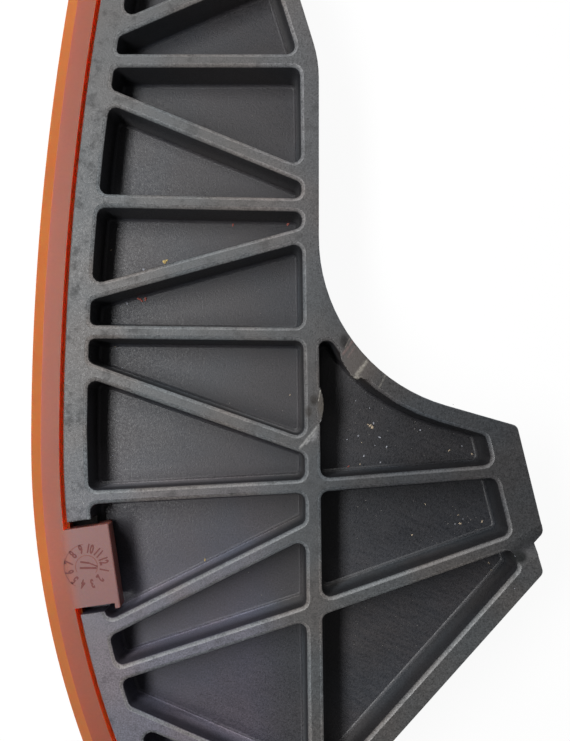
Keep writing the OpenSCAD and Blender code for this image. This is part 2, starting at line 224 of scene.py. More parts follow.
class Graph:
    """Node graph of a material or a world, with one method that makes its nodes."""

    def __init__(self, owner: Material | bpy.types.World) -> None:
        """Start an empty graph.

        Args:
            owner: New material or world that the graph belongs to.
        """
        self.owner = owner
        owner.use_nodes = True
        self.tree = owner.node_tree
        self.tree.nodes.clear()

    def node(
        self,
        kind: str,
        settings: Mapping[str, Any] | None = None,
        inputs: Mapping[str | int, Any] | None = None,
        output: str | int = 0,
    ) -> Sock:
        """Make one node.

        Args:
            kind: Type of the node.
            settings: Values set on the node first; "stops" fills a ramp.
            inputs: Values or links of its sockets, by name or place.
            output: Output that is returned, by name or place.

        Returns:
            The wrapped output.
        """
        made = self.tree.nodes.new(kind)
        for key, value in (settings or {}).items():
            if key == "stops":
                elements = made.color_ramp.elements
                while len(elements) < len(value):
                    elements.new(1.0)
                for element, (place, colour) in zip(elements, value):
                    element.position = place
                    element.color = (*colour, 1.0)
            else:
                setattr(made, key, value)
        for key, value in (inputs or {}).items():
            socket = made.inputs[key]
            if isinstance(value, Sock):
                self.tree.links.new(value.out, socket)
            elif isinstance(value, tuple) and len(value) == 3 and socket.type == "RGBA":
                socket.default_value = (*value, 1.0)
            else:
                socket.default_value = value
        return Sock(self, made.outputs[output] if len(made.outputs) else None)

    def math(self, operation: str, *values: Value, clamp: bool = False) -> Sock:
        """Math node on numbers or sockets.

        Args:
            operation: Name of the operation.
            values: Its operands.
            clamp: Whether the result is held between 0 and 1.

        Returns:
            The result.
        """
        settings = {"operation": operation, "use_clamp": clamp}
        return self.node("ShaderNodeMath", settings, dict(enumerate(values)))

    def mix(self, share: Value, first: Sock | Colour, second: Sock | Colour, blend: str = "MIX") -> Sock:
        """Mix of two colours.

        Args:
            share: Share of the second colour.
            first: First colour.
            second: Second colour.
            blend: Blend type.

        Returns:
            The mixed colour.
        """
        settings = {"data_type": "RGBA", "blend_type": blend}
        return self.node("ShaderNodeMix", settings, {0: share, 6: first, 7: second}, output=2)

    def tinted(self, colour: Sock, tint: Sock | Colour) -> Sock:
        """Product of two colours."""
        return self.mix(1.0, colour, tint, "MULTIPLY")

    def dimmed(self, colour: Sock, share: Sock) -> Sock:
        """Colour times a value."""
        return self.tinted(colour, self.node("ShaderNodeCombineColor", None, {0: share, 1: share, 2: share}))

    def attribute(self, name: str) -> Sock:
        """Value that each face of the piece carries under a name."""
        return self.node("ShaderNodeAttribute", {"attribute_name": name}, output="Fac")

    def place(self) -> Place:
        """Object coordinates in millimetres.

        Returns:
            The vector and its three parts.
        """
        raw = self.node("ShaderNodeTexCoord", output="Object")
        vector = self.node("ShaderNodeVectorMath", {"operation": "SCALE"}, {0: raw, "Scale": 1 / MM})
        parts = [self.node("ShaderNodeSeparateXYZ", None, {0: vector}, output=i) for i in range(3)]
        return vector, parts[0], parts[1], parts[2]

    def grain(self, vector: Sock, size: float, detail: float = 2.0, rough: float = 0.5) -> Sock:
        """Noise whose main feature has a given size.

        Args:
            vector: Coordinates in millimetres.
            size: Size of a feature in millimetres.
            detail: Octaves.
            rough: Strength of the finer octaves.

        Returns:
            Values around a half.
        """
        inputs = {"Vector": vector, "Scale": 1 / size, "Detail": detail, "Roughness": rough}
        return self.node("ShaderNodeTexNoise", None, inputs, output="Fac")

    def streaks(self, vector: Sock, length: float, width: float, turn: float) -> Sock:
        """Noise drawn out along one direction in the plane of the faces.

        Args:
            vector: Coordinates in millimetres.
            length: Length of a streak in millimetres.
            width: Its width in millimetres.
            turn: Angle of the streaks from X, in radians.

        Returns:
            Values around a half.
        """
        inputs = {"Vector": vector, "Rotation": (0.0, 0.0, turn), "Scale": (length, width, width)}
        drawn = self.node("ShaderNodeMapping", {"vector_type": "TEXTURE"}, inputs)
        return self.grain(drawn, size=1.0, detail=3.0, rough=0.6)

    def stroke(self, x: Sock, y: Sock, start: Point, end: Point, half_width: float) -> Sock:
        """Soft mask along a straight stroke.

        Args:
            x: First coordinate in millimetres.
            y: Second coordinate in millimetres.
            start: One end of the stroke.
            end: Other end of the stroke.
            half_width: Half of its width.

        Returns:
            1 on the stroke, 0 away from it.
        """
        run = (end[0] - start[0], end[1] - start[1])
        square = run[0] ** 2 + run[1] ** 2
        dx, dy = x - start[0], y - start[1]
        along = ((dx * run[0] + dy * run[1]) / square).held()
        return (dx - along * run[0]).hypot(dy - along * run[1]).rise(half_width, 0.0)

    def patch(self, x: Sock, y: Sock, centre: Point, radii: Point, core: float = 0.2) -> Sock:
        """Soft mask over an ellipse.

        Args:
            x: First coordinate in millimetres.
            y: Second coordinate in millimetres.
            centre: Middle of the ellipse.
            radii: Its two half axes.
            core: Share of the radius at which the mask is full.

        Returns:
            1 in the core, 0 outside.
        """
        return ((x - centre[0]) / radii[0]).hypot((y - centre[1]) / radii[1]).rise(1.0, core)

    def bump(self, height: Sock, strength: float, distance: float) -> Sock:
        """Normal from a height whose full step is a distance in millimetres."""
        inputs = {"Strength": strength, "Distance": distance * MM, "Height": height}
        return self.node("ShaderNodeBump", None, inputs)

    def surface(self, inputs: Mapping[str, Any]) -> Material:
        """Close the graph with a Principled shader.

        Args:
            inputs: Values or links of the shader's sockets.

        Returns:
            The finished material.
        """
        shader = self.node("ShaderNodeBsdfPrincipled", None, inputs)
        self.node("ShaderNodeOutputMaterial", None, {"Surface": shader})
        return self.owner


@dataclass(frozen=True)
class Scratch:
    """A light stroke on the front face, by its two ends in pixels."""

    start: Point
    end: Point
    width_px: float
    strength: float
    tone: Colour = from_srgb(168, 163, 152)


@dataclass(frozen=True)
class Rub:
    """A patch of wear, stain or painted shade, by its middle and half axes in pixels and the heights it
    keeps between.
    """

    middle: Point
    half_axes: Point
    strength: float
    tone: Colour
    from_mm: float = 10.0
    below_mm: float = 30.0
    dull: float = 0.0


@dataclass(frozen=True)
class Tinge:
    """A tint over one region, which sets in between two places along X and along Y, in millimetres."""

    tint: Colour
    along_x: Point
    along_y: Point


@dataclass(frozen=True)
class CarrierFinish:
    """Black glass-filled nylon with grey grain: darker pockets, partly own tone and partly painted shade;
    painted shade on pocket walls; painted highlights on mouths and lamp-facing walls.
    """

    name: str = "carrier_black"
    face: Colour = (0.05, 0.05, 0.05)
    # Floors below the faces are darker: partly the moulding's own tone, partly painted shade in the pockets.
    floor: Colour = (0.024, 0.0235, 0.0275)
    # Painted highlight on the rounded pocket mouths.
    rim: Colour = (0.108, 0.107, 0.106)
    # Brighter painted highlight on the mouth rounds that face away from the key lamp.
    far_rim: Colour = (0.24, 0.238, 0.236)
    # Painted shade on the pocket walls.
    wall: Colour = (0.0155, 0.0154, 0.017)
    # Painted light near the foot of the walls that face the lamps, and a painted highlight on their crease.
    foot: Colour = (0.098, 0.102, 0.107)
    crease: Colour = (0.165, 0.17, 0.172)
    cool: Colour = (0.92, 1.0, 1.06)
    warm: Colour = (1.08, 1.0, 0.96)
    film_dark: Colour = (0.7, 0.74, 0.78)
    film_pale: Colour = (1.04, 1.03, 1.0)
    # Regional tints: lighter and more purple towards the lower left, darker by about half towards the right
    # except at the bottom, lighter faces towards the top right.
    bloom: Tinge = Tinge((1.75, 1.6, 1.95), (18.0, 8.0), (-92.0, -140.0))
    oil: Tinge = Tinge((0.5, 0.515, 0.55), (8.0, 36.0), (-124.0, -108.0))
    dry: Tinge = Tinge((1.36, 1.28, 1.26), (4.0, 18.0), (-82.0, -55.0))
    bloom_off_rim: float = 0.85
    face_mm: float = DEPTH_MM
    mottle_mm: float = 7.0
    cast_mm: float = 16.0
    stain_mm: float = 2.4
    speckle_mm: float = 0.42
    fibre_mm: float = 0.25
    streak_mm: Point = (5.0, 0.7)
    streak_turn: float = math.radians(-25)
    # Depths below the nearer face between which the face's colour gives way to the darker floor, partly
    # painted shade, and the painted rim highlight sets in.
    skin: Point = (0.9, 0.05)
    rim_foot: Point = (0.62, 0.4)
    rim_top: Point = (0.0, 0.04)
    # Distances from the middle plane between which the painted light on the lamp-facing walls and the
    # painted crease highlight set in.
    foot_away: Point = (7.5, 1.8)
    crease_away: Point = (2.1, 1.5)
    # Places along X between which the painted light on the lamp-facing walls, stronger towards the left, and
    # the film on the floors set in, and the least share of both.
    foot_over: Point = (34.0, 12.0)
    film_over: Point = (18.0, 30.0)
    film_least: float = 0.4
    front_skin: float = 0.6
    rub_fade: float = 2.0
    rub_patchy: float = 1.4
    # Values of the noises between which the stains, the film's pale streaks and the warm cast set in.
    stain_range: Point = (0.52, 0.7)
    streak_range: Point = (0.36, 0.66)
    cast_range: Point = (0.35, 0.65)
    # Gain and cut of the speckle that breaks the scratches up.
    broken_gain: float = 2.2
    broken_cut: float = 0.55
    # How far each pattern moves the shade, the roughness and the height.
    mottle_shade: float = 0.24
    speckle_shade: float = 1.2
    fibre_shade: float = 1.8
    stain_shade: float = 0.32
    roughness: float = 0.5
    rim_polish: float = 0.06
    mottle_rough: float = 0.1
    speckle_rough: float = 0.7
    streak_rough: float = 0.14
    stain_rough: float = 0.16
    grain_height: float = 0.5
    mark_height: float = 0.4
    scratches: tuple[Scratch, ...] = (
        Scratch((351.5, 335), (345.5, 347), 1.8, 0.9, (0.16, 0.14, 0.12)),
        Scratch((343, 354), (353, 341), 4.6, 0.8, (0.125, 0.072, 0.066)),
        Scratch((348, 357), (355, 347), 4.0, 0.7, (0.115, 0.075, 0.07)),
        Scratch((321, 387), (318.4, 401), 1.4, 0.8),
        Scratch((323.4, 392), (320.8, 406), 2.0, 0.9, (0.02, 0.018, 0.017)),
        Scratch((356, 376), (366, 362), 7.0, 0.62),
        Scratch((354, 378.5), (361, 377.5), 4.5, 0.45),
        Scratch((386, 374), (379, 388), 3.0, 0.28),
        Scratch((323, 420), (300, 448), 4.4, 1.0, (0.26, 0.26, 0.255)),
        Scratch((323, 424), (306, 444), 3.6, 0.9, (0.24, 0.24, 0.24)),
        Scratch((322, 428), (313, 440), 7.0, 0.7, (0.2, 0.2, 0.205)),
    )
    rubs: tuple[Rub, ...] = (
        Rub((362, 360), (34, 34), 0.85, (0.066, 0.054, 0.047)),
        Rub((344, 341), (7, 11), 1.5, (0.006, 0.005, 0.005), dull=0.3),
        Rub((321, 405), (6, 19), 1.5, (0.04, 0.033, 0.026), dull=0.12),
        Rub((314, 400), (7, 9), 1.6, (0.02, 0.0175, 0.0155), dull=0.4),
        Rub((308.5, 412), (6.5, 9), 1.6, (0.022, 0.019, 0.017), dull=0.36),
        # Painted shade in the saddle's dip below the nick.
        Rub((520, 557.5), (12, 9.5), 1.5, (0.005, 0.006, 0.006), dull=0.4),
        # Painted shadow on the floor of the lug's notch.
        Rub((82, 524), (19, 11), 3.0, (0.005, 0.0035, 0.003), from_mm=4.0, below_mm=18.5, dull=0.5),
    )

    def rubbed(self, graph: Graph, place: Place, mottle: Sock, colour: Sock) -> tuple[Sock, Value]:
        """Lay the patches of wear, stain and painted shade over a colour.

        Args:
            graph: The material's graph.
            place: Coordinates in millimetres.
            mottle: Noise that breaks the patches up.
            colour: Colour under them.

        Returns:
            The colour with the patches, and the roughness that they add.
        """
        _, x, y, z = place
        dulled: Value = 0.0
        for blot in self.rubs:
            axes = (blot.half_axes[0] / PHOTO.px_per_mm, blot.half_axes[1] / PHOTO.px_per_mm)
            mask = graph.patch(x, y, PHOTO.flat(*blot.middle), axes)
            mask = mask * z.rise(blot.from_mm, self.face_mm - self.front_skin)
            mask = mask * z.rise(blot.below_mm, blot.below_mm - self.rub_fade)
            share = (mask * blot.strength * mottle * self.rub_patchy).held()
            colour = graph.mix(share, colour, blot.tone)
            if blot.dull:
                dulled = (share * blot.dull).over(dulled)
        return colour, dulled

    def scratched(self, graph: Graph, place: Place, broken: Sock, colour: Sock) -> tuple[Sock, Value]:
        """Lay the light strokes over a colour.

        Args:
            graph: The material's graph.
            place: Coordinates in millimetres.
            broken: Mask that breaks the strokes up.
            colour: Colour under them.

        Returns:
            The colour with the strokes, and their mask.
        """
        _, x, y, _ = place
        marks: Value = 0.0
        for mark in self.scratches:
            half_width = mark.width_px / PHOTO.px_per_mm / 2
            stroke = graph.stroke(x, y, PHOTO.flat(*mark.start), PHOTO.flat(*mark.end), half_width)
            share = stroke * broken * mark.strength
            colour = graph.mix(share, colour, mark.tone)
            marks = share.over(marks)
        return colour, marks

    def build(self) -> Material:
        """Build the material.

        Returns:
            The finished material.
        """
        graph = Graph(bpy.data.materials.new(self.name))
        place = graph.place()
        vector, x, y, z = place
        mottle = graph.grain(vector, self.mottle_mm, detail=3.0)
        cast = graph.grain(vector, self.cast_mm)
        speckle = graph.grain(vector, self.speckle_mm, detail=3.0, rough=0.75)
        fibre = graph.grain(vector, self.fibre_mm)
        streak = graph.streaks(vector, *self.streak_mm, self.streak_turn)
        half = self.face_mm / 2
        away = abs(z - half)
        skin, rim_foot, rim_top = (
            away.rise(half - deep, half - shallow)
            for deep, shallow in (self.skin, self.rim_foot, self.rim_top)
        )
        stain = graph.grain(vector, self.stain_mm, detail=4.0, rough=0.65).rise(*self.stain_range) * skin
        inside, sill = graph.attribute("pocket_wall"), graph.attribute("sill")
        # Painted highlight on the rounded pocket mouths.
        rim = graph.attribute("mouth") * rim_foot * rim_top
        # Painted light on the lower part of the walls that face the lamps, stronger towards the left, and a
        # painted highlight on their crease.
        pale = sill * away.rise(*self.foot_away) * x.rise(*self.foot_over).at_least(self.film_least)
        low = graph.mix(away.rise(*self.crease_away), self.foot, self.crease)
        filmy = (1 - skin) * (1 - inside)
        film = graph.mix(streak.rise(*self.streak_range), self.film_dark, self.film_pale)
        # Darker floors: partly the moulding's own tone, partly painted shade in the pockets.
        colour = graph.mix(skin, self.floor, self.face)
        film_share = filmy * x.rise(*self.film_over).at_least(self.film_least)
        colour = graph.mix(film_share, colour, graph.tinted(colour, film))
        # Pocket walls: painted shade, with the painted light and crease highlight where they face the lamps.
        colour = graph.mix(inside, colour, graph.mix(pale, self.wall, low))
        # Painted highlight on the mouths, brighter on the rounds that face away from the key lamp.
        colour = graph.mix(rim, colour, graph.mix(graph.attribute("far_side"), self.rim, self.far_rim))
        shade = 1 + mottle.swing(self.mottle_shade) + speckle.swing(self.speckle_shade)
        shade = (shade + fibre.swing(self.fibre_shade)) * (1 - stain * self.stain_shade)
        colour = graph.dimmed(colour, shade)
        colour = graph.tinted(colour, graph.mix(cast.rise(*self.cast_range), self.cool, self.warm))
        for tinge, kept in ((self.bloom, 1 - rim * self.bloom_off_rim), (self.oil, 1.0), (self.dry, skin)):
            region = x.rise(*tinge.along_x) * y.rise(*tinge.along_y) * kept
            colour = graph.mix(region, colour, graph.tinted(colour, tinge.tint))
        colour, dulled = self.rubbed(graph, place, mottle, colour)
        broken = (speckle * self.broken_gain - self.broken_cut).held()
        broken = broken * z.rise(half, self.face_mm - self.front_skin)
        colour, marks = self.scratched(graph, place, broken, colour)
        roughness = self.roughness - rim * self.rim_polish + dulled
        roughness = roughness + speckle.swing(self.speckle_rough) + mottle.swing(self.mottle_rough)
        roughness = roughness + streak.swing(self.streak_rough) * filmy + stain * self.stain_rough
        height = (speckle + fibre) * self.grain_height + marks * self.mark_height
        return graph.surface({
            "Base Color": colour,
            "Roughness": roughness,
            "Normal": graph.bump(height, strength=0.55, distance=0.085),
            "IOR": 1.5,
        })


@dataclass(frozen=True)
class LiningFinish:
    """Orange-brown nylon: dull on its edges; painted light on the chamfers and a painted red glow in the
    relief; the lugs' greyer brown partly painted sheen.
    """

    name: str = "lining_orange"
    edge: Colour = (0.245, 0.061, 0.0305)
    # Painted light: the chamfers face the key lamp and let its light shine through the nylon.
    chamfer: Colour = (0.348, 0.096, 0.0128)
    # Painted glow: the relief lies in shade, and its red stands for light shining through the nylon.
    relief: Colour = (0.88, 0.2, 0.04)
    wall: Colour = (0.42, 0.06, 0.014)
    # The lugs' greyer brown: partly their own darker nylon, partly painted sheen of their glossier tops.
    lug: Colour = (0.168, 0.08, 0.0745)
    glow: float = 0.8
    # Reach from the lower arc's axis, and places along Y, between which the lugs' shade sets in.
    lug_reach: Point = (143.6, 140.6)
    lug_top: Point = (-108.0, -110.0)
    lug_bottom: Point = (-131.0, -129.0)
    edge_zone: Point = (0.2, 0.1)
    cloud_mm: float = 14.0
    grain_mm: float = 0.5
    tone: float = 0.96
    cloud_shade: float = 0.2
    grain_shade: float = 0.22
    roughness: float = 0.5
    grain_rough: float = 0.2

    def build(self) -> Material:
        """Build the material.

        Returns:
            The finished material.
        """
        graph = Graph(bpy.data.materials.new(self.name))
        vector, x, y, _ = graph.place()
        zone = graph.attribute("zone")
        shades = (self.edge, self.chamfer, self.relief, self.wall)
        stops = [(kind.value, shade) for kind, shade in zip(LiningZone, shades)]
        colour = graph.node("ShaderNodeValToRGB", {"stops": stops}, {0: zone})
        reach = (x - LOWER_ARC[0]).hypot(y - LOWER_ARC[1])
        on_edge = zone.rise(*self.edge_zone)
        on_lug = reach.rise(*self.lug_reach) * on_edge * y.rise(*self.lug_top) * y.rise(*self.lug_bottom)
        colour = graph.mix(on_lug, colour, self.lug)
        cloud = graph.grain(vector, self.cloud_mm)
        grain = graph.grain(vector, self.grain_mm, detail=3.0, rough=0.6)
        shade = self.tone + cloud.swing(self.cloud_shade) + grain.swing(self.grain_shade)
        colour = graph.dimmed(colour, shade)
        return graph.surface({
            "Base Color": colour,
            "Roughness": self.roughness + grain.swing(self.grain_rough),
            "Normal": graph.bump(grain, strength=0.25, distance=0.05),
            "Subsurface Weight": self.glow,
            "Subsurface Radius": (1.0, 0.16, 0.04),
            "Subsurface Scale": 0.006,
            "Specular IOR Level": 0.25,
            "IOR": 1.53,
        })


@dataclass(frozen=True)
class SpeckFinish:
    """Dust, lint, a moulded mark or the dial rings' painted shade: one colour with a fine mottle."""

    name: str
    colour: Colour
    roughness: float = 0.75
    gloss: float = 0.3
    mottle_mm: float = 0.6
    darkest: float = 0.7

    def build(self) -> Material:
        """Build the material.

        Returns:
            The finished material.
        """
        graph = Graph(bpy.data.materials.new(self.name))
        mottle = graph.grain(graph.place()[0], self.mottle_mm)
        dark = tuple(value * self.darkest for value in self.colour)
        return graph.surface({
            "Base Color": graph.mix(mottle, dark, self.colour),
            "Roughness": self.roughness,
            "Specular IOR Level": self.gloss,
        })


def add_object(name: str, mesh: Mesh, material: Material) -> Piece:
    """Turn a bmesh into an object at the origin.

    Args:
        name: Name of the piece.
        mesh: Its shape, in metres; it is freed.
        material: Its finish.

    Returns:
        The linked object.
    """
    data = bpy.data.meshes.new(name)
    mesh.to_mesh(data)
    mesh.free()
    data.materials.append(material)
    piece = bpy.data.objects.new(name, data)
    bpy.context.scene.collection.objects.link(piece)
    return piece


def join_into(target: Mesh, source: Mesh) -> None:
    """Add one bmesh to another and free it.

    Args:
        target: Mesh that grows.
        source: Mesh that is added; it is freed.
    """
    data = bpy.data.meshes.new("joining")
    source.to_mesh(data)
    source.free()
    target.from_mesh(data)
    bpy.data.meshes.remove(data)


@dataclass
class MouldedNode:
    """A node's own solid with its sharp edges broken, as a moulding has them."""

    node: str
    body: str = "root"
    edge_round: float = 0.2
    segments: int = 2
    sharp: float = math.radians(58)
    level: float = 0.9999
    weld: float = 2e-6

    def solid(self, source: Piece) -> Mesh:
        """Merged copy of the node's mesh.

        Args:
            source: The node's object.

        Returns:
            The copy.
        """
        mesh = bmesh.new()
        mesh.from_mesh(source.data)
        bmesh.ops.remove_doubles(mesh, verts=mesh.verts, dist=self.weld)
        return mesh

    def break_edges(self, mesh: Mesh, edges: Iterable[bmesh.types.BMEdge]) -> list[bmesh.types.BMFace]:
        """Round a set of edges.

        Args:
            mesh: Mesh that holds the edges.
            edges: Edges to round.

        Returns:
            The faces of the rounds.
        """
        return bmesh.ops.bevel(
            mesh,
            geom=list(edges),
            offset=self.edge_round * MM,
            offset_type="OFFSET",
            affect="EDGES",
            segments=self.segments,
            profile=0.5,
            clamp_overlap=False,
            material=-1,
        )["faces"]

    def shade(self, mesh: Mesh) -> None:
        """Smooth shading on the rounds, flat on the level faces, broken at the sharp edges.

        Args:
            mesh: Mesh whose faces and edges are marked.
        """
        mesh.normal_update()
        for face in mesh.faces:
            face.smooth = abs(face.normal.z) < self.level
        for edge in mesh.edges:
            edge.smooth = edge.calc_face_angle(0.0) < self.sharp


@dataclass
class Carrier(MouldedNode):
    """Black carrier with its rubbed rail and chipped spine."""

    node: str = "carrier"
    front: float = DEPTH_MM * MM
    rail_lip: tuple[Point, ...] = (
        (332.0, 340.5), (336.0, 344.5), (339.6, 348.6), (340.6, 353.0), (341.0, 358.0), (342.6, 362.0),
        (345.0, 366.0), (348.0, 370.5), (350.6, 374.6), (353.2, 377.6), (356.5, 379.2), (359.6, 378.6),
        (361.6, 377.4), (364.2, 378.9), (367.5, 381.0), (370.0, 377.5), (362.0, 370.0), (354.0, 361.0),
        (346.0, 351.0), (338.5, 342.0), (334.5, 338.5),
    )
    spine_lip: tuple[Point, ...] = (
        (320.2, 387.0), (322.0, 393.0), (323.2, 399.0), (323.9, 405.0), (323.6, 411.0), (322.6, 416.0),
        (320.4, 422.5), (317.0, 420.0), (316.0, 405.0), (317.0, 389.0),
    )
    lip_depth: float = 1.0
    lip_round: float = 0.2
    lip_proud: float = 0.012
    lip_waves: float = 2.6
    lip_drift: float = 0.17
    seed_step: float = 5.3
    square: float = math.radians(80)
    touch: float = 1e-6
    # Upward lean of a face, from the pockets' draft over their rounds to a flat floor.
    draft_lift: float = 0.02
    round_lift: float = 0.3
    flat_lift: float = 0.99
    dip_lift: float = 0.935
    middle: float = DEPTH_MM / 2
    foot_reach: float = 4.0
    end_share: float = 0.6
    saddle_from: Point = (51.0, -123.0)
    saddle_to: float = -112.0

    def in_dip(self, face: bmesh.types.BMFace) -> bool:
        """Whether a face belongs to the saddle below the nick.

        Args:
            face: Face of the carrier.

        Returns:
            True for the saddle's sloping faces.
        """
        middle = face.calc_center_median() / MM
        near = middle.x > self.saddle_from[0] and self.saddle_from[1] < middle.y < self.saddle_to
        return near and self.dip_lift < abs(face.normal.z) < self.level

    def rim_edges(self, mesh: Mesh) -> list[bmesh.types.BMEdge]:
        """Square edges between the side walls and the two faces.

        Args:
            mesh: The carrier's mesh.

        Returns:
            The edges.
        """
        return [
            edge
            for edge in mesh.edges
            if len(edge.link_faces) == 2
            and edge.calc_face_angle(0.0) > self.square
            and all(min(abs(vert.co.z), abs(vert.co.z - self.front)) < self.touch for vert in edge.verts)
        ]

    def mark_faces(self, mesh: Mesh) -> None:
        """Write on each face what the finish reads: pocket wall, mouth, how far it faces the lamps, far
        side.

        Args:
            mesh: The carrier's mesh.
        """
        layers = mesh.faces.layers.float
        walls, mouths = layers.new("pocket_wall"), layers.new("mouth")
        lit_facings, far_sides = layers.new("sill"), layers.new("far_side")
        for face in mesh.faces:
            lift = abs(face.normal.z)
            rounded = self.round_lift <= lift < self.flat_lift
            deep = abs(face.calc_center_median().z / MM - self.middle) < self.foot_reach
            # How far a face faces the fill lamp (+Y) and the key lamp (-X); the finish paints light on such
            # walls and a highlight on their crease.
            sill = max(0.0, face.normal.y, -self.end_share * face.normal.x)
            at_foot = sill if deep and rounded else 0.0
            # Pocket walls take the painted shade; deep fillets that face the lamps take it with the painted
            # crease highlight.
            face[walls] = 1.0 if self.draft_lift < lift < self.round_lift else at_foot
            face[lit_facings] = sill
            # Faces that look away from the key lamp; their mouth rounds take a brighter painted highlight.
            face[far_sides] = max(0.0, face.normal.x)
            # Rounded faces; near the front face the finish gives them the painted rim highlight.
            face[mouths] = float(rounded and not self.in_dip(face))

    def lip(self, outline: Sequence[Point], seed: int) -> Mesh:
        """Smeared plastic, level with the front face, that hangs over a pocket's mouth.

        Args:
            outline: Pixels round the smear; a part of them lies on the face.
            seed: Picks its roughness.

        Returns:
            The lip, in metres.
        """
        lip = bmesh.new()
        lip.faces.new([lip.verts.new(PHOTO.mm(px, py)) for px, py in outline])
        bmesh.ops.subdivide_edges(lip, edges=lip.edges, cuts=2)
        for vert in lip.verts:
            drift = noise.noise_vector(vert.co * self.lip_waves + Vector((seed * self.seed_step, 0, 0)))
            vert.co += Vector((drift.x, drift.y, 0)) * self.lip_drift
        bmesh.ops.recalc_face_normals(lip, faces=lip.faces)
        made = bmesh.ops.extrude_face_region(lip, geom=list(lip.faces), use_keep_orig=True)["geom"]
        foot = {item for item in made if isinstance(item, bmesh.types.BMVert)}
        bmesh.ops.translate(lip, vec=(0, 0, -self.lip_depth), verts=list(foot))
        crest = [edge for edge in lip.edges if not foot.intersection(edge.verts)]
        bmesh.ops.bevel(
            lip, geom=crest, offset=self.lip_round, offset_type="OFFSET", affect="EDGES", segments=3,
            profile=0.5, clamp_overlap=True, material=-1,
        )
        bmesh.ops.translate(lip, vec=(0, 0, self.lip_proud), verts=lip.verts)
        bmesh.ops.triangulate(lip, faces=[face for face in lip.faces if len(face.verts) > 4])
        bmesh.ops.recalc_face_normals(lip, faces=lip.faces)
        bmesh.ops.transform(lip, matrix=Matrix.Scale(MM, 4), verts=lip.verts)
        return lip

    def build(self, source: Piece, material: Material) -> list[Piece]:
        """Build the carrier and the smeared plastic on it.

        Args:
            source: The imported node.
            material: The carrier's finish.

        Returns:
            The pieces.
        """
        mesh = self.solid(source)
        self.break_edges(mesh, self.rim_edges(mesh))
        self.mark_faces(mesh)
        self.shade(mesh)
        dip = {face for face in mesh.faces if self.in_dip(face)}
        for edge in mesh.edges:
            if len(dip.intersection(edge.link_faces)) == 1:
                edge.smooth = False
        body = add_object("carrier_moulding", mesh, material)
        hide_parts(self.node)
        pieces = [body]
        smears = {"rail_smear": self.rail_lip, "spine_smear": self.spine_lip}
        for seed, (name, outline) in enumerate(smears.items()):
            lip = self.lip(outline, seed)
            self.shade(lip)
            pieces.append(add_object(name, lip, material))
        for piece in pieces:
            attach(piece, self.body)
        return pieces


@dataclass
class SlideLining(MouldedNode):
    """Orange-brown lining with its clip lugs."""

    node: str = "slide_lining"
    edge_round: float = 0.22
    sharp: float = math.radians(30)
    inner_reach: float = 141.5
    lug_tip: Point = (-13.9, -112.13)
    lug_foot: Point = (-11.84, -126.08)
    lug_depth: float = 5.4
    corner_reach: float = 0.03
    corner_turn: float = 0.7
    nose_drop: float = 5.0
    half: float = DEPTH_MM / 2
    relief: float = 2.5
    skin: float = 0.05
    wall_lift: float = 0.3
    edge_lift: float = 0.9

    def reach(self, place: Vector) -> float:
        """Distance in millimetres of a place from the axis of the lower arc."""
        return math.hypot(place.x / MM - LOWER_ARC[0], place.y / MM - LOWER_ARC[1])

    def lug_edges(self, mesh: Mesh) -> list[bmesh.types.BMEdge]:
        """Free edges of the clip lugs: the long one and the two corners on each face.

        Args:
            mesh: The lining's mesh.

        Returns:
            The edges.
        """
        ends = [Vector((*corner, 0.0)) for corner in (self.lug_tip, self.lug_foot)]

        def at_end(vert: bmesh.types.BMVert) -> bool:
            """Whether a vertex is an outer corner of a lug.

            Args:
                vert: Vertex of the lining.

            Returns:
                True for the corners.
            """
            place = vert.co / MM
            near = min((Vector((place.x, place.y, 0.0)) - end).length for end in ends)
            return near < self.corner_reach and abs(place.z - self.half) > self.lug_depth

        turned = [edge for edge in mesh.edges if edge.calc_face_angle(0.0) > self.corner_turn]
        return [edge for edge in turned if all(map(at_end, edge.verts))]

    def on_lug(self, face: bmesh.types.BMFace) -> bool:
        """Whether a face belongs to a lug, and not to the strip where it turns round the nose."""
        middle = face.calc_center_median()
        return self.reach(middle) < self.inner_reach and middle.y / MM >= self.lug_foot[1] - self.nose_drop

    def zone(self, face: bmesh.types.BMFace) -> LiningZone:
        """Shade zone of a face, by the way it faces and its depth.

        Args:
            face: Face of the lining.

        Returns:
            Its zone.
        """
        lift, middle = abs(face.normal.z), face.calc_center_median()
        if self.on_lug(face):
            return LiningZone.EDGE if lift > self.wall_lift else LiningZone.WALL
        recessed = self.half - self.relief < abs(middle.z / MM - self.half) < self.half - self.skin
        sloping = self.wall_lift <= lift <= self.edge_lift
        if self.reach(middle) > self.inner_reach and recessed and not sloping:
            return LiningZone.RELIEF
        if lift > self.edge_lift:
            return LiningZone.EDGE
        return LiningZone.CHAMFER if lift > self.wall_lift else LiningZone.WALL

    def build(self, source: Piece, material: Material, lug_material: Material) -> list[Piece]:
        """Build the lining with a shade zone on each face.

        Args:
            source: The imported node.
            material: The lining's finish.
            lug_material: Finish of the lugs, which are duller.

        Returns:
            The piece.
        """
        mesh = self.solid(source)
        rounds = set(self.break_edges(mesh, self.lug_edges(mesh)))
        zones = mesh.faces.layers.float.new("zone")
        for face in mesh.faces:
            face[zones] = (LiningZone.EDGE if face in rounds else self.zone(face)).value
            face.material_index = int(self.on_lug(face))
        self.shade(mesh)
        piece = add_object("lining_moulding", mesh, material)
        piece.data.materials.append(lug_material)
        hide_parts(self.node)
        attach(piece, self.body)
        return [piece]


@dataclass(frozen=True)
class Ring:
    """Dark arc of one ring of the dial, drawn only where the ring shows its shade, between two angles in
    degrees: painted shade.
    """

    radius_px: float
    start: float
    stop: float
    width_mm: float = 0.12
    segments: int = 72


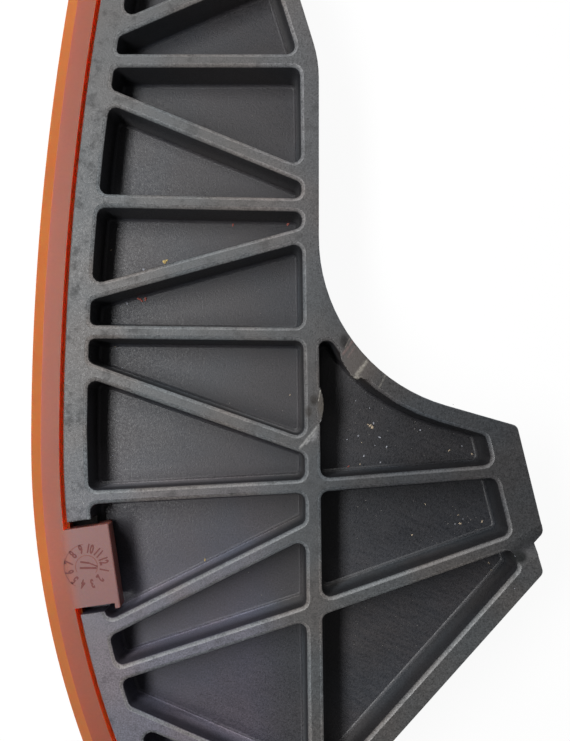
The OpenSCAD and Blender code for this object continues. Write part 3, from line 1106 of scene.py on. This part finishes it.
@dataclass
class DateDial:
    """Moulded dial on the lug: two rings, twelve numbers and an arrow."""

    centre_px: Point = (86.5, 566.5)
    number_px: float = 17.6
    numbers: int = 12
    digit_mm: float = 2.05
    digit_bold: float = 0.085
    digit_narrow: float = 0.6
    first_angle: float = -11.0
    # The rings are dark arcs only where each ring shows its shade: painted shade.
    rings: tuple[Ring, ...] = (Ring(22.4, 100.0, 240.0), Ring(11.0, -40.0, 215.0))
    strokes: tuple[tuple[Point, Point, float], ...] = (
        ((80.2, 562.0), (89.0, 563.0), 0.3),
        ((79.7, 568.0), (96.6, 568.0), 0.34),
        ((89.0, 563.0), (97.5, 566.4), 0.2),
    )
    proud: float = 0.05
    sink: float = 0.02
    front: float = DEPTH_MM

    def circle(self, ring: Ring) -> Mesh:
        """Raised ring.

        Args:
            ring: Its sizes.

        Returns:
            The ring about the origin, in millimetres.
        """
        radius = ring.radius_px / PHOTO.px_per_mm
        mesh = bmesh.new()
        bmesh.ops.create_circle(mesh, segments=ring.segments, radius=radius - ring.width_mm / 2)
        outside = [
            vert
            for vert in mesh.verts
            if (math.degrees(math.atan2(vert.co.y, vert.co.x)) - ring.start) % 360 > ring.stop - ring.start
        ]
        bmesh.ops.delete(mesh, geom=outside, context="VERTS")
        inner = set(mesh.verts)
        bmesh.ops.extrude_edge_only(mesh, edges=list(mesh.edges))
        outer = [vert for vert in mesh.verts if vert not in inner]
        bmesh.ops.scale(mesh, vec=Vector((1 + ring.width_mm / radius,) * 2 + (1,)), verts=outer)
        return self.thick(mesh)

    def thick(self, mesh: Mesh) -> Mesh:
        """Give a flat shape its height above the lug.

        Args:
            mesh: The flat shape.

        Returns:
            The same mesh, raised.
        """
        bmesh.ops.recalc_face_normals(mesh, faces=mesh.faces)
        made = bmesh.ops.extrude_face_region(mesh, geom=list(mesh.faces), use_keep_orig=True)["geom"]
        top = [item for item in made if isinstance(item, bmesh.types.BMVert)]
        bmesh.ops.translate(mesh, vec=(0, 0, self.proud), verts=top)
        bmesh.ops.recalc_face_normals(mesh, faces=mesh.faces)
        return mesh

    def number(self, value: int) -> Mesh:
        """One number, upright about the origin.

        Args:
            value: The number.

        Returns:
            Its raised shape, in millimetres.
        """
        text = bpy.data.curves.new("dial_number", "FONT")
        text.body = str(value)
        text.size = self.digit_mm
        text.offset = self.digit_bold
        text.align_x = "CENTER"
        text.align_y = "CENTER"
        text.resolution_u = 3
        text.extrude = self.proud / 2
        holder = bpy.data.objects.new("dial_number", text)
        bpy.context.scene.collection.objects.link(holder)
        bpy.context.view_layer.update()
        data = bpy.data.meshes.new_from_object(holder.evaluated_get(bpy.context.evaluated_depsgraph_get()))
        mesh = bmesh.new()
        mesh.from_mesh(data)
        bmesh.ops.translate(mesh, vec=(0, 0, self.proud / 2), verts=mesh.verts)
        bmesh.ops.scale(mesh, vec=(self.digit_narrow, 1, 1), verts=mesh.verts)
        bpy.data.objects.remove(holder)
        bpy.data.curves.remove(text)
        bpy.data.meshes.remove(data)
        return mesh

    def stroke(self, start: Point, end: Point, width: float) -> Mesh:
        """Raised stroke of the arrow between two pixels.

        Args:
            start: One end.
            end: Other end.
            width: Its width in millimetres.

        Returns:
            The stroke about the dial's centre, in millimetres.
        """
        middle = PHOTO.mm(*self.centre_px)
        first, last = PHOTO.mm(*start) - middle, PHOTO.mm(*end) - middle
        run = last - first
        mesh = bmesh.new()
        bmesh.ops.create_grid(mesh, x_segments=3, y_segments=1, size=0.5)
        shape = Matrix.Diagonal((run.length, width, 1, 1))
        turn = Matrix.Rotation(math.atan2(run.y, run.x), 4, "Z")
        seat = Matrix.Translation((first + last) / 2)
        bmesh.ops.transform(mesh, matrix=seat @ turn @ shape, verts=mesh.verts)
        return self.thick(mesh)

    def seated(self, name: str, mesh: Mesh, material: Material) -> Piece:
        """Set a shape about the dial's centre on the lug.

        Args:
            name: Name of the piece.
            mesh: The shape, in millimetres.
            material: Its finish.

        Returns:
            The piece.
        """
        place = PHOTO.mm(*self.centre_px)
        seat = Matrix.Translation((place.x, place.y, self.front - self.sink))
        bmesh.ops.transform(mesh, matrix=Matrix.Scale(MM, 4) @ seat, verts=mesh.verts)
        piece = add_object(name, mesh, material)
        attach(piece, "root")
        return piece

    def build(self, mark_finish: Material, ring_shade_finish: Material) -> list[Piece]:
        """Build the dial on the lug.

        Args:
            mark_finish: Finish of the numbers and the arrow.
            ring_shade_finish: Finish of the rings' dark arcs, which are painted shade.

        Returns:
            The pieces.
        """
        circles = bmesh.new()
        for ring in self.rings:
            join_into(circles, self.circle(ring))
        mesh = bmesh.new()
        for stroke in self.strokes:
            join_into(mesh, self.stroke(*stroke))
        shift = Matrix.Translation((0, self.number_px / PHOTO.px_per_mm, 0))
        for value in range(1, self.numbers + 1):
            digit = self.number(value)
            angle = self.first_angle - 360 / self.numbers * (value - 1)
            turn = Matrix.Rotation(math.radians(angle - 90), 4, "Z")
            bmesh.ops.transform(digit, matrix=turn @ shift, verts=digit.verts)
            join_into(mesh, digit)
        return [
            self.seated("dial_numbers", mesh, mark_finish),
            self.seated("dial_ring_shade_arcs", circles, ring_shade_finish),
        ]


@dataclass
class Dust:
    """Grit, lint and chips in the front pockets, each by its pixel and its half length in millimetres."""

    floor_mm: float = 8.75
    seed: int = 7
    # Shares of a grain's half length: spread of its radii and of its width, its height and its seat.
    wobble: Point = (0.65, 1.15)
    slim: Point = (0.35, 0.8)
    flat: float = 0.4
    seat: float = 0.2
    fine_mm: Point = (0.05, 0.14)
    grit: tuple[Speck, ...] = (
        (368.0, 424.5, 0.34), (369.9, 425.9, 0.38), (371.9, 427.3, 0.34), (361.6, 442.4, 0.19),
        (360.0, 464.2, 0.22), (449.0, 450.5, 0.3), (472.0, 454.0, 0.26), (480.0, 457.0, 0.24),
        (458.0, 515.0, 0.22), (460.0, 523.4, 0.32), (482.0, 521.5, 0.3), (412.0, 535.0, 0.22),
        (425.0, 504.0, 0.2), (489.0, 563.0, 0.26), (491.0, 570.0, 0.18), (101.0, 184.0, 0.22),
        (111.0, 250.0, 0.26), (115.0, 347.0, 0.2), (290.0, 395.0, 0.22), (121.0, 641.0, 0.26),
    )
    pale: tuple[Speck, ...] = (
        (355.9, 400.7, 0.17), (369.7, 408.0, 0.14), (373.7, 422.9, 0.31), (379.4, 437.2, 0.29),
        (386.7, 446.9, 0.26), (364.0, 455.8, 0.26), (375.0, 445.6, 0.17), (347.0, 439.4, 0.18),
        (358.3, 435.9, 0.21), (387.5, 466.7, 0.17), (380.5, 462.3, 0.22), (420.0, 430.0, 0.20),
        (462.0, 446.0, 0.18), (463.0, 519.0, 0.17), (455.0, 524.0, 0.18), (127.0, 303.5, 0.3),
        (120.5, 306.5, 0.24), (143.5, 269.5, 0.26), (112.0, 347.5, 0.16), (116.5, 349.0, 0.2),
        (122.8, 368.0, 0.22), (124.0, 371.0, 0.18), (113.0, 455.5, 0.24),
    )
    on_face: tuple[Speck, ...] = (
        (75.6, 417.8, 0.08), (77.4, 418.8, 0.07), (73.4, 419.2, 0.05), (514.4, 588.5, 0.1),
        (515.0, 556.0, 0.1), (318.0, 434.0, 0.12), (302.0, 434.0, 0.12), (525.0, 465.0, 0.12),
    )
    on_face_depth: float = 0.02
    lint: tuple[Speck, ...] = (
        (139, 299, 0.5), (141.5, 300.5, 0.42), (145.5, 299, 0.4),
        (233, 225, 0.4), (288, 224, 0.44), (348.6, 466.3, 0.26),
    )
    chips: tuple[Speck, ...] = ((164.5, 262, 0.48), (166.5, 260.5, 0.3), (205, 560, 0.34))
    # Corners of each dusty field in pixels, and its number of fine specks.
    fields: tuple[tuple[float, float, float, float, int], ...] = (
        (340, 400, 470, 455, 46), (340, 500, 480, 545, 40), (340, 600, 440, 650, 30),
        (140, 110, 280, 180, 10), (130, 270, 285, 320, 12), (130, 400, 285, 470, 14),
        (150, 560, 285, 620, 12),
    )

    def crumb(self, place: Vector, size: float, spin: random.Random) -> Mesh:
        """One grain of few faces.

        Args:
            place: Its middle in millimetres.
            size: Its half length in millimetres.
            spin: Source of its shape.

        Returns:
            The grain, in metres.
        """
        grain = bmesh.new()
        bmesh.ops.create_icosphere(grain, subdivisions=1, radius=1.0)
        for vert in grain.verts:
            vert.co *= spin.uniform(*self.wobble)
        shape = Matrix.Diagonal((size, size * spin.uniform(*self.slim), size * self.flat, 1))
        turn = Matrix.Rotation(spin.uniform(0, math.tau), 4, "Z")
        lift = Matrix.Translation(place + Vector((0, 0, size * self.seat)))
        bmesh.ops.transform(grain, matrix=Matrix.Scale(MM, 4) @ lift @ turn @ shape, verts=grain.verts)
        return grain

    def scatter(self, name: str, places: Sequence[Speck], material: Material, depth: float) -> Piece:
        """One object of grains at given pixels.

        Args:
            name: Name of the piece.
            places: Pixel and half length of each grain.
            material: Its finish.
            depth: Depth of the grains below the front face.

        Returns:
            The piece.
        """
        spin = random.Random(self.seed + len(places))
        joined = bmesh.new()
        for px, py, size in places:
            join_into(joined, self.crumb(PHOTO.mm(px, py, depth), size, spin))
        piece = add_object(name, joined, material)
        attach(piece, "root")
        return piece

    def fine(self) -> list[Speck]:
        """Fine specks over the pocket floors.

        Returns:
            Pixel and half length of each.
        """
        spin = random.Random(self.seed)
        return [
            (spin.uniform(x0, x1), spin.uniform(y0, y1), spin.uniform(*self.fine_mm))
            for x0, y0, x1, y1, count in self.fields
            for _ in range(count)
        ]

    def build(self, finishes: Mapping[str, Material]) -> list[Piece]:
        """Build all the dust.

        Args:
            finishes: Finish of each sort.

        Returns:
            The pieces.
        """
        sorts = (
            ("grit", self.grit, "grit", self.floor_mm),
            ("pale_dust", self.pale, "pale", self.floor_mm),
            ("face_dust", self.on_face, "pale", self.on_face_depth),
            ("fine_dust", self.fine(), "fine", self.floor_mm),
            ("red_lint", self.lint, "lint", self.floor_mm),
            ("orange_chips", self.chips, "chip", self.floor_mm),
        )
        return [self.scatter(name, places, finishes[sort], depth) for name, places, sort, depth in sorts]


@dataclass
class Studio:
    """White table, soft key light from the left, a fill from beyond the eye and the camera overhead."""

    key_watts: float = 0.98
    key_size: Point = (0.25, 0.055)
    key_from: Vector = field(default_factory=lambda: Vector((-0.105, -0.062, 0.256)))
    fill_watts: float = 1.3
    fill_size: Point = (0.3, 0.12)
    fill_from: Vector = field(default_factory=lambda: Vector((-0.1, 0.36, 0.32)))
    aim: Vector = field(default_factory=lambda: Vector((0.012, -0.07, 0.01)))
    sky: float = 0.125
    shadow_share: float = 0.06
    paper: Colour = (0.9, 0.9, 0.9)
    table_size: float = 3.0
    table_drop: float = 0.0002
    sensor: float = 36.0
    clip_start: float = 0.01

    def floor(self) -> None:
        """White table that shows white to the camera and keeps a soft shadow."""
        graph = Graph(bpy.data.materials.new("table_white"))
        camera, glossy, through = (
            graph.node("ShaderNodeLightPath", output=f"Is {kind} Ray")
            for kind in ("Camera", "Glossy", "Transmission")
        )
        share = camera.over(glossy).over(through) * (1 - self.shadow_share)
        paper = graph.node("ShaderNodeBsdfDiffuse", None, {"Color": self.paper})
        white = graph.node("ShaderNodeEmission", None, {"Color": WHITE, "Strength": 1.0})
        mixed = graph.node("ShaderNodeMixShader", None, {0: share, 1: paper, 2: white})
        graph.node("ShaderNodeOutputMaterial", None, {"Surface": mixed})
        mesh = bmesh.new()
        bmesh.ops.create_grid(mesh, x_segments=1, y_segments=1, size=self.table_size)
        bmesh.ops.translate(mesh, vec=(0, 0, -self.table_drop), verts=mesh.verts)
        table = add_object("table", mesh, graph.owner)

    def lamp(self, name: str, watts: float, size: Point, place: Vector) -> None:
        """Soft lamp that points at the part.

        Args:
            name: Name of the lamp.
            watts: Its power.
            size: Its two sides, in metres.
            place: Where it hangs, in metres.
        """
        lamp = bpy.data.lights.new(name, "AREA")
        lamp.shape = "RECTANGLE"
        lamp.size, lamp.size_y = size
        lamp.energy = watts
        holder = bpy.data.objects.new(name, lamp)
        holder.location = place
        holder.rotation_euler = (self.aim - place).to_track_quat("-Z", "Y").to_euler()
        bpy.context.scene.collection.objects.link(holder)

    def world(self) -> None:
        """Even light from all round, white to the camera."""
        graph = Graph(bpy.data.worlds.new("room"))
        seen = graph.node("ShaderNodeLightPath", output="Is Camera Ray")
        room, white = (
            graph.node("ShaderNodeBackground", None, {"Color": WHITE, "Strength": strength})
            for strength in (self.sky, 1.0)
        )
        mixed = graph.node("ShaderNodeMixShader", None, {0: seen, 1: room, 2: white})
        graph.node("ShaderNodeOutputWorld", None, {"Surface": mixed})
        bpy.context.scene.world = graph.owner

    def camera(self) -> None:
        """Camera straight above, shifted to the photograph's framing."""
        wide, tall = PHOTO.frame_px
        lens = bpy.data.cameras.new("camera")
        lens.sensor_fit = "VERTICAL"
        lens.sensor_height = self.sensor
        lens.lens = self.sensor * PHOTO.height_mm * PHOTO.px_per_mm / tall
        lens.shift_x = (wide / 2 - PHOTO.centre_px[0]) / tall
        lens.shift_y = (PHOTO.centre_px[1] - tall / 2) / tall
        lens.clip_start = self.clip_start
        holder = bpy.data.objects.new("camera", lens)
        holder.location = PHOTO.mm(*PHOTO.centre_px) * MM + Vector((0, 0, PHOTO.height_mm * MM))
        bpy.context.scene.collection.objects.link(holder)
        bpy.context.scene.camera = holder

    def build(self) -> None:
        """Set up the table, the light and the camera."""
        bpy.context.scene.view_settings.view_transform = "Standard"
        self.floor()
        self.lamp("key", self.key_watts, self.key_size, self.key_from)
        self.lamp("fill", self.fill_watts, self.fill_size, self.fill_from)
        self.world()
        self.camera()


def main() -> None:
    """Build every piece in order."""
    logging.basicConfig(level=logging.INFO, format="%(name)s: %(message)s")
    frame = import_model()
    Studio().build()
    finishes = {
        "grit": SpeckFinish("grit_tan", from_srgb(176, 160, 138)).build(),
        "fine": SpeckFinish("fine_dust", from_srgb(128, 124, 120)).build(),
        "lint": SpeckFinish("red_lint", from_srgb(150, 84, 76)).build(),
        "chip": SpeckFinish("orange_chip", from_srgb(196, 172, 112)).build(),
        "pale": SpeckFinish("pale_dust", from_srgb(150, 152, 160)).build(),
        "dial": SpeckFinish("dial_mark", from_srgb(108, 66, 64), roughness=0.8, gloss=0.1).build(),
        # Dark arcs of the dial's rings: painted shade.
        "ring": SpeckFinish("dial_ring", from_srgb(124, 78, 72), roughness=0.8, gloss=0.1).build(),
    }
    nodes = frame["nodes"]
    pieces = Carrier().build(nodes["carrier"], CarrierFinish().build())
    lug_finish = LiningFinish(name="lug_dull", wall=(0.25, 0.085, 0.07), glow=0.15)
    pieces += SlideLining().build(nodes["slide_lining"], LiningFinish().build(), lug_finish.build())
    pieces += DateDial().build(finishes["dial"], finishes["ring"])
    pieces += Dust().build(finishes)
    for piece in pieces:
        LOG.info("%s: %d faces", piece.name, len(piece.data.polygons))


if __name__ == "__main__":
    main()
